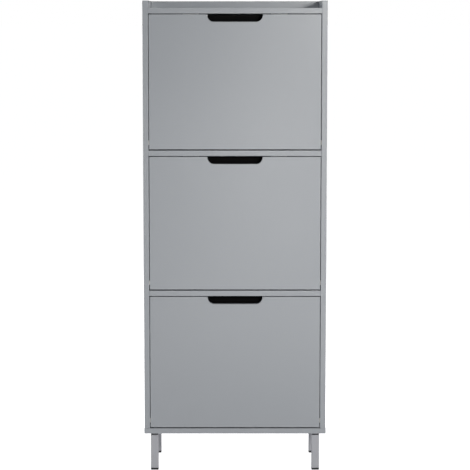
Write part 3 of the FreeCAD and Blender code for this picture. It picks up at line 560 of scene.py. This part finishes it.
def screw_shells(node, head_height):
    """One cross-head screw for each solid of a node, along its longest side.

    The head is at the end where the solid is widest, and the shank is as wide as the other end.
    """
    shells = []
    for low, high, points in loose_solids(node):
        along = int(np.argmax(high - low))
        middle = (low + high) / 2
        width = np.abs(points - middle)[:, [axis for axis in range(3) if axis != along]].max(axis=1)
        head = points[width > width.max() * 0.95][:, along].mean()
        way = 1.0 if head > middle[along] else -1.0
        radius = width.max()
        shank = width[np.abs(points[:, along] - (low if way > 0 else high)[along]) < 1e-5].max()
        length = (high - low)[along] - head_height
        rings = cross_head(radius, head_height, length, shank)
        out = np.zeros(3)
        out[along] = way
        across = np.roll(np.abs(out), 1)
        basis = np.array([across, np.cross(out, across), out])
        seat = middle.copy()
        seat[along] = (high if way > 0 else low)[along] - way * head_height
        bands = np.ones(len(rings) - 1, bool)
        shells.append(tube_shell(rings @ basis + seat, bands))
    return shells


def plated(name, colour, roughness=0.32, mottle=0.12):
    """Bright zinc or steel: fine scratches, and the plate's cloudy change of gloss."""
    made = Finish(name, metallic=1.0)
    cloud = made.noise(90.0, 4.0)
    fine = made.noise(900.0, 2.0, made.stretched(1.0, 1.0, 6.0))
    darker = tuple(channel * 0.86 for channel in colour)
    made.set(Base_Color=made.mix(cloud, darker, colour))
    made.set(Roughness=roughness - mottle / 2 + cloud * mottle + fine * 0.08)
    made.set(Normal=made.relief(fine, 0.00002, 0.4))
    return made


zinc = plated("zinc_plate", (0.66, 0.66, 0.63))
SMALL_HEAD, LARGE_HEAD = 0.0015, 0.003
screw_groups = [(f"screws_{level}", f"flap_screws_{level}", SMALL_HEAD, f"flap_{level}")
                for level in LEVELS]
screw_groups += [("screws_back_panel", "back_panel_screws", SMALL_HEAD, "cabinet"),
                 ("screws_bottom_panel", "panel_screws", LARGE_HEAD, "cabinet")]
for name, node, head_height, body in screw_groups:
    new_piece(name, joined(screw_shells(node, head_height)), zinc, body, "zinc_steel", node)
zinc.dress(nodes["leg_studs"], nodes["cam_bolts"])


# ---- cam locks ----
# Die-cast cams in the undersides of the boards, hidden by thin push-in caps moulded in grey.
cast_zinc = plated("cast_zinc", (0.50, 0.50, 0.49), roughness=0.45)
cast_zinc.dress(nodes["cam_locks"], nodes["leg_inserts"])
CAP_RADIUS, CAP_PROUD, CAP_EASE, CAP_BORDER = 0.0088, 0.0009, 0.0003, 0.0002
cap_plastic = moulding("cap_plastic", PAINT)
turn = np.linspace(0.0, 2 * math.pi, 41)[:-1]
circle = np.column_stack([np.cos(turn), np.sin(turn)])


def cap_outline(centre, inward):
    """A circle round a cap's centre, smaller by the distance inwards."""
    return centre + circle * (CAP_RADIUS - inward)


caps = []
for low, high, _ in loose_solids("cam_locks"):
    outline = partial(cap_outline, ((low + high) / 2)[:2])
    caps.append(slab(outline, low[2] - CAP_PROUD, low[2], "flat", CAP_EASE, CAP_BORDER))
new_piece("cam_caps", joined(caps), cap_plastic, "cabinet", "catch_plastic")


# ---- dowels ----
# Fluted beech, glued into the boards' ends: straight grain along each dowel.
beech = Finish("beech", roughness=0.6)
grain = beech.noise(260.0, 4.0, beech.stretched(0.06, 1.0, 1.0))
beech.set(Base_Color=beech.mix(grain, (0.52, 0.34, 0.18), (0.66, 0.47, 0.27)))
beech.set(Normal=beech.relief(grain, 0.0002, 0.4))
beech.dress(nodes["dowels"])


# ---- back panel ----
# Hardboard, 3 mm, screwed to the rear edges. Its face to the inside is painted grey; the rear is
# raw brown fibre with the crossed mark of the press screen.
hardboard = Finish("hardboard", Specular_IOR_Level=0.25)
fibre = hardboard.noise(420.0, 5.0, hardboard.stretched(1.0, 1.0, 0.55))
blotch = hardboard.noise(7.0, 4.0)
flecks = hardboard.noise(150.0, 3.0).above(0.62, 0.72)
brown = hardboard.mix(fibre * 0.6 + blotch * 0.4, (0.105, 0.062, 0.036), (0.205, 0.130, 0.080))
brown = hardboard.mix(flecks * 0.35, brown, (0.30, 0.21, 0.14))
rear_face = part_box("back_panel")[1].y
raw = hardboard.axis(1).above(rear_face - 0.0004, rear_face - 0.0001)
hardboard.set(Base_Color=hardboard.mix(raw, tuple(0.9 * channel for channel in PAINT), brown))
hardboard.set(Roughness=0.5 + raw * 0.25 + fibre * 0.08)
SCREEN_PITCH = 0.0014
turns = 2 * math.pi / SCREEN_PITCH
wires_x = (hardboard.axis(0) * turns).sine()
wires_z = (hardboard.axis(2) * turns).sine()
screen = (wires_x * wires_z * 0.5 + 0.5) * raw
hardboard.set(Normal=hardboard.relief(screen * 0.5 + fibre * 0.5, 0.00025, 0.5))
hardboard.dress(nodes["back_panel"])


# ---- shoe racks ----
# Two moulded side plates a flap, stiffened by a raised rim round their edge and round the curved
# slot, with a floor, a divider and a back board of grey melamine-faced board between them.
rack_plastic = moulding("rack_plastic", (0.23, 0.24, 0.25), roughness=0.5)
melamine = Finish("rack_melamine", Specular_IOR_Level=0.45)
print_grain = melamine.noise(300.0, 3.0, melamine.stretched(0.3, 1.0, 1.0))
melamine.set(Base_Color=melamine.mix(print_grain, (0.275, 0.289, 0.307), (0.292, 0.307, 0.326)))
melamine.set(Roughness=0.44 + print_grain * 0.1)
melamine.set(Normal=melamine.relief(melamine.noise(1100.0, 2.0), 0.00006, 0.4))
RACK_EASE = 0.0006
for level in LEVELS:
    for part, axes in (("rack_floor", "flat"), ("rack_divider", "front"), ("rack_back", "front")):
        node = f"{part}_{level}"
        shell = box_slab(*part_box(node), axes, RACK_EASE, RACK_EASE)
        new_piece(f"{node}_board", shell, melamine, f"flap_{level}", "rack_panel", node)
    rack_plastic.dress(nodes[f"rack_side_left_{level}"], nodes[f"rack_side_right_{level}"])


def rim(outline, width, low, high, soft=0.0003):
    """A raised band that follows outline(inward), of one width, from low to high.

    Its section is a rectangle with its two top edges cut off at 45 degrees.
    """
    steps = [(0.0, low), (0.0, high - soft), (soft, high), (width - soft, high),
             (width, high - soft), (width, low)]
    rings = np.stack([np.insert(outline(d), 2, h, axis=1) @ AXES["side"] for d, h in steps])
    count = rings.shape[1]
    quads = ring_faces(len(steps), count)
    place = np.arange(count)
    following = (place + 1) % count
    last = (len(steps) - 1) * count
    closing = np.column_stack([place + last, following + last, following, place])
    faces = np.concatenate([quads, closing])
    smooth = np.zeros(len(faces), bool)
    return rings.reshape(-1, 3), faces.tolist(), smooth, np.zeros(rings.shape[0] * count)


EDGE_RIM, SLOT_RIM, RIM_PROUD = 0.0014, 0.0035, 0.0012
STOP_RADIUS, SLOT_HALF = 0.140, 0.0044
SLOT_START, SLOT_END = np.radians([12.0, 60.0])
SHOULDER_Y, SHOULDER_Z = 0.111, 0.144
PLATE_RADII = [0.0005, 0.014, 0.014, 0.014, 0.0005]


def around(angle, radius):
    """Points at angles round the pivot, in Y and Z."""
    return np.column_stack([radius * np.cos(angle), radius * np.sin(angle)])


def slot_rim_edge(half):
    """An arc-shaped slot, counter-clockwise: a long arc each way and a half circle at each end."""
    sweep = np.linspace(SLOT_START, SLOT_END, 25)
    ends = np.linspace(0.0, math.pi, 13)[1:-1]
    high_centre, low_centre = around(np.array([SLOT_END, SLOT_START]), STOP_RADIUS)
    high_end = high_centre + around(SLOT_END + ends, half)
    low_end = low_centre + around(SLOT_START + math.pi + ends, half)
    far, near = around(sweep, STOP_RADIUS + half), around(sweep[::-1], STOP_RADIUS - half)
    return np.concatenate([far, high_end, near, low_end])


pivots = {joint["child"]: joint["pos_m"] for joint in frame["joints"]}
for level in LEVELS:
    _, pivot_y, pivot_z = pivots[f"flap_{level}"]
    for side, sign in (("left", -1), ("right", 1)):
        low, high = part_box(f"rack_side_{side}_{level}")
        edge = [(low.y, low.z), (high.y, low.z), (high.y, low.z + SHOULDER_Z),
                (pivot_y + SHOULDER_Y, high.z), (low.y, high.z)]
        slot_edge = slot_rim_edge(SLOT_HALF + SLOT_RIM) + (pivot_y, pivot_z)
        near, far = (high.x, high.x + RIM_PROUD) if sign > 0 else (low.x - RIM_PROUD, low.x)
        bands = [(partial(eased_outline, edge, PLATE_RADII), EDGE_RIM),
                 (partial(inset, slot_edge), SLOT_RIM)]
        shells = []
        for band, width in bands:
            points, faces, smooth, eased = rim(band, width, near, far)
            if sign < 0:
                points[:, 0] = near + far - points[:, 0]
                faces = [face[::-1] for face in faces]
            shells.append((points, faces, smooth, eased))
        new_piece(f"rack_rim_{side}_{level}", joined(shells), rack_plastic, f"flap_{level}",
                  "rack_plastic")


# ---- corner brackets, strike plates and hinge pins ----
# Pressed steel, zinc plated: the brackets are bent from strip with a small inside radius, the
# strikes are flat blanks with rounded corners, and the pins are cut from bright bar.
bracket_zinc = plated("bracket_zinc", (0.60, 0.61, 0.60), roughness=0.38)
bright_steel = plated("bright_steel", (0.58, 0.59, 0.60), roughness=0.25, mottle=0.08)
STRIP, BEND_OUTSIDE, BEND_INSIDE, SHEARED = 0.0015, 0.0022, 0.0008, 0.0003
STRIKE_EASE, STRIKE_CORNER = 0.0002, 0.0015
for level in LEVELS:
    body = f"flap_{level}"
    angles = []
    for low, high, _ in loose_solids(f"rack_brackets_{level}"):
        wall, tip = (high[0], low[0]) if low[0] > 0 else (low[0], high[0])
        inner = wall + STRIP * (-1 if low[0] > 0 else 1)
        corners = [(wall, low[1]), (wall, high[1]), (inner, high[1]), (inner, low[1] + STRIP),
                   (tip, low[1] + STRIP), (tip, low[1])]
        radii = [BEND_OUTSIDE, SHEARED, SHEARED, BEND_INSIDE, SHEARED, SHEARED]
        if low[0] < 0:
            corners, radii = corners[::-1], radii[::-1]
        outline = partial(eased_outline, corners, radii)
        angles.append(slab(outline, low[2], high[2], "flat", SHEARED, border=0.0002))
    new_piece(f"corner_brackets_{level}", joined(angles), bracket_zinc, body, "bracket_steel",
              f"rack_brackets_{level}")
    blanks = [box_slab(low, high, "front", STRIKE_EASE, STRIKE_CORNER, 6)
              for low, high, _ in loose_solids(f"strike_plates_{level}")]
    new_piece(f"strikes_{level}", joined(blanks), bright_steel, body, "pin_steel",
              f"strike_plates_{level}")
    bright_steel.dress(nodes[f"hinge_pins_{level}"])


# ---- bushes and stop pins ----
# Turned natural nylon, pressed into the side panels.
nylon = moulding("natural_nylon", (0.72, 0.71, 0.66), roughness=0.4, grain=0.2)
nylon.dress(nodes["pivot_bushes"], nodes["stop_pins"])


# ---- magnetic catches ----
# A grey moulded housing under the board above each strike, with two steel pole pieces that stand
# just proud of its face either side of the magnet.
catch_plastic = moulding("catch_plastic", (0.62, 0.63, 0.64), roughness=0.4)
HOUSING_CORNER = 0.002
POLE_PROUD, POLE_SUNK, POLE_THICK = 0.0002, 0.002, 0.0016
POLE_INSET, POLE_SHORT, POLE_EASE, POLE_CORNER = 0.0022, 0.005, 0.0002, 0.0004
housings, poles = [], []
for low, high, _ in loose_solids("magnetic_catches"):
    housings.append(box_slab(low, high, "flat", EDGE_EASE, HOUSING_CORNER, 6))
    for z in (low[2] + POLE_INSET, high[2] - POLE_INSET - POLE_THICK):
        pole = ((low[0] + POLE_SHORT, low[1] - POLE_PROUD, z),
                (high[0] - POLE_SHORT, low[1] + POLE_SUNK, z + POLE_THICK))
        poles.append(box_slab(*pole, "flat", POLE_EASE, POLE_CORNER))
new_piece("catch_housings", joined(housings), catch_plastic, "cabinet", "catch_plastic",
          "magnetic_catches")
new_piece("catch_poles", joined(poles), bright_steel, "cabinet", "pin_steel")
